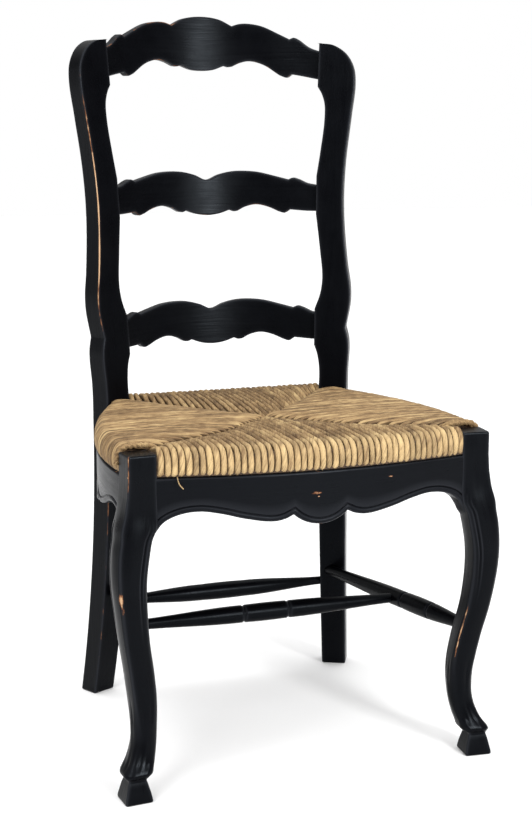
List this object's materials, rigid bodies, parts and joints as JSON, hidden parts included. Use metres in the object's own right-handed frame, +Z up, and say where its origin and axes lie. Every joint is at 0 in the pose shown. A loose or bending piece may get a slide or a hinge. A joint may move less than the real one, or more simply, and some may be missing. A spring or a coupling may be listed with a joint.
{
  "type": "dining chair",
  "caption": "Ladder-back dining chair with shaped bowed slats, cabriole front legs, scalloped aprons, turned stretchers and a woven rush seat.",
  "frame": {"origin": "on the floor, under the middle of the bounding box", "axes": "+Z up, the seat faces -Y, +X to the sitter's left"},
  "size_m": [0.5612, 0.5662, 1.0766],
  "materials": {
    "black_painted_wood": "satin black paint rubbed through to the wood on the arrises",
    "bare_beech": "bare sawn wood, hidden inside the seat",
    "rush": "dry twisted rush, straw to mid tan"
  },
  "bodies": {
    "root": {"crest_slat": "black_painted_wood", "mid_slat": "black_painted_wood", "low_slat": "black_painted_wood", "front_apron": "black_painted_wood", "side_apron_left": "black_painted_wood", "side_apron_right": "black_painted_wood", "rear_apron": "black_painted_wood", "side_stretcher_left": "black_painted_wood", "side_stretcher_right": "black_painted_wood", "cross_stretcher": "black_painted_wood", "rear_stretcher": "black_painted_wood", "front_leg_left": "black_painted_wood", "front_leg_right": "black_painted_wood", "rear_post_left": "black_painted_wood", "rear_post_right": "black_painted_wood", "seat_rail_front": "bare_beech", "seat_rail_left": "bare_beech", "seat_rail_right": "bare_beech", "seat_rail_rear": "bare_beech", "rush_seat": "rush"}
  },
  "joints": []
}
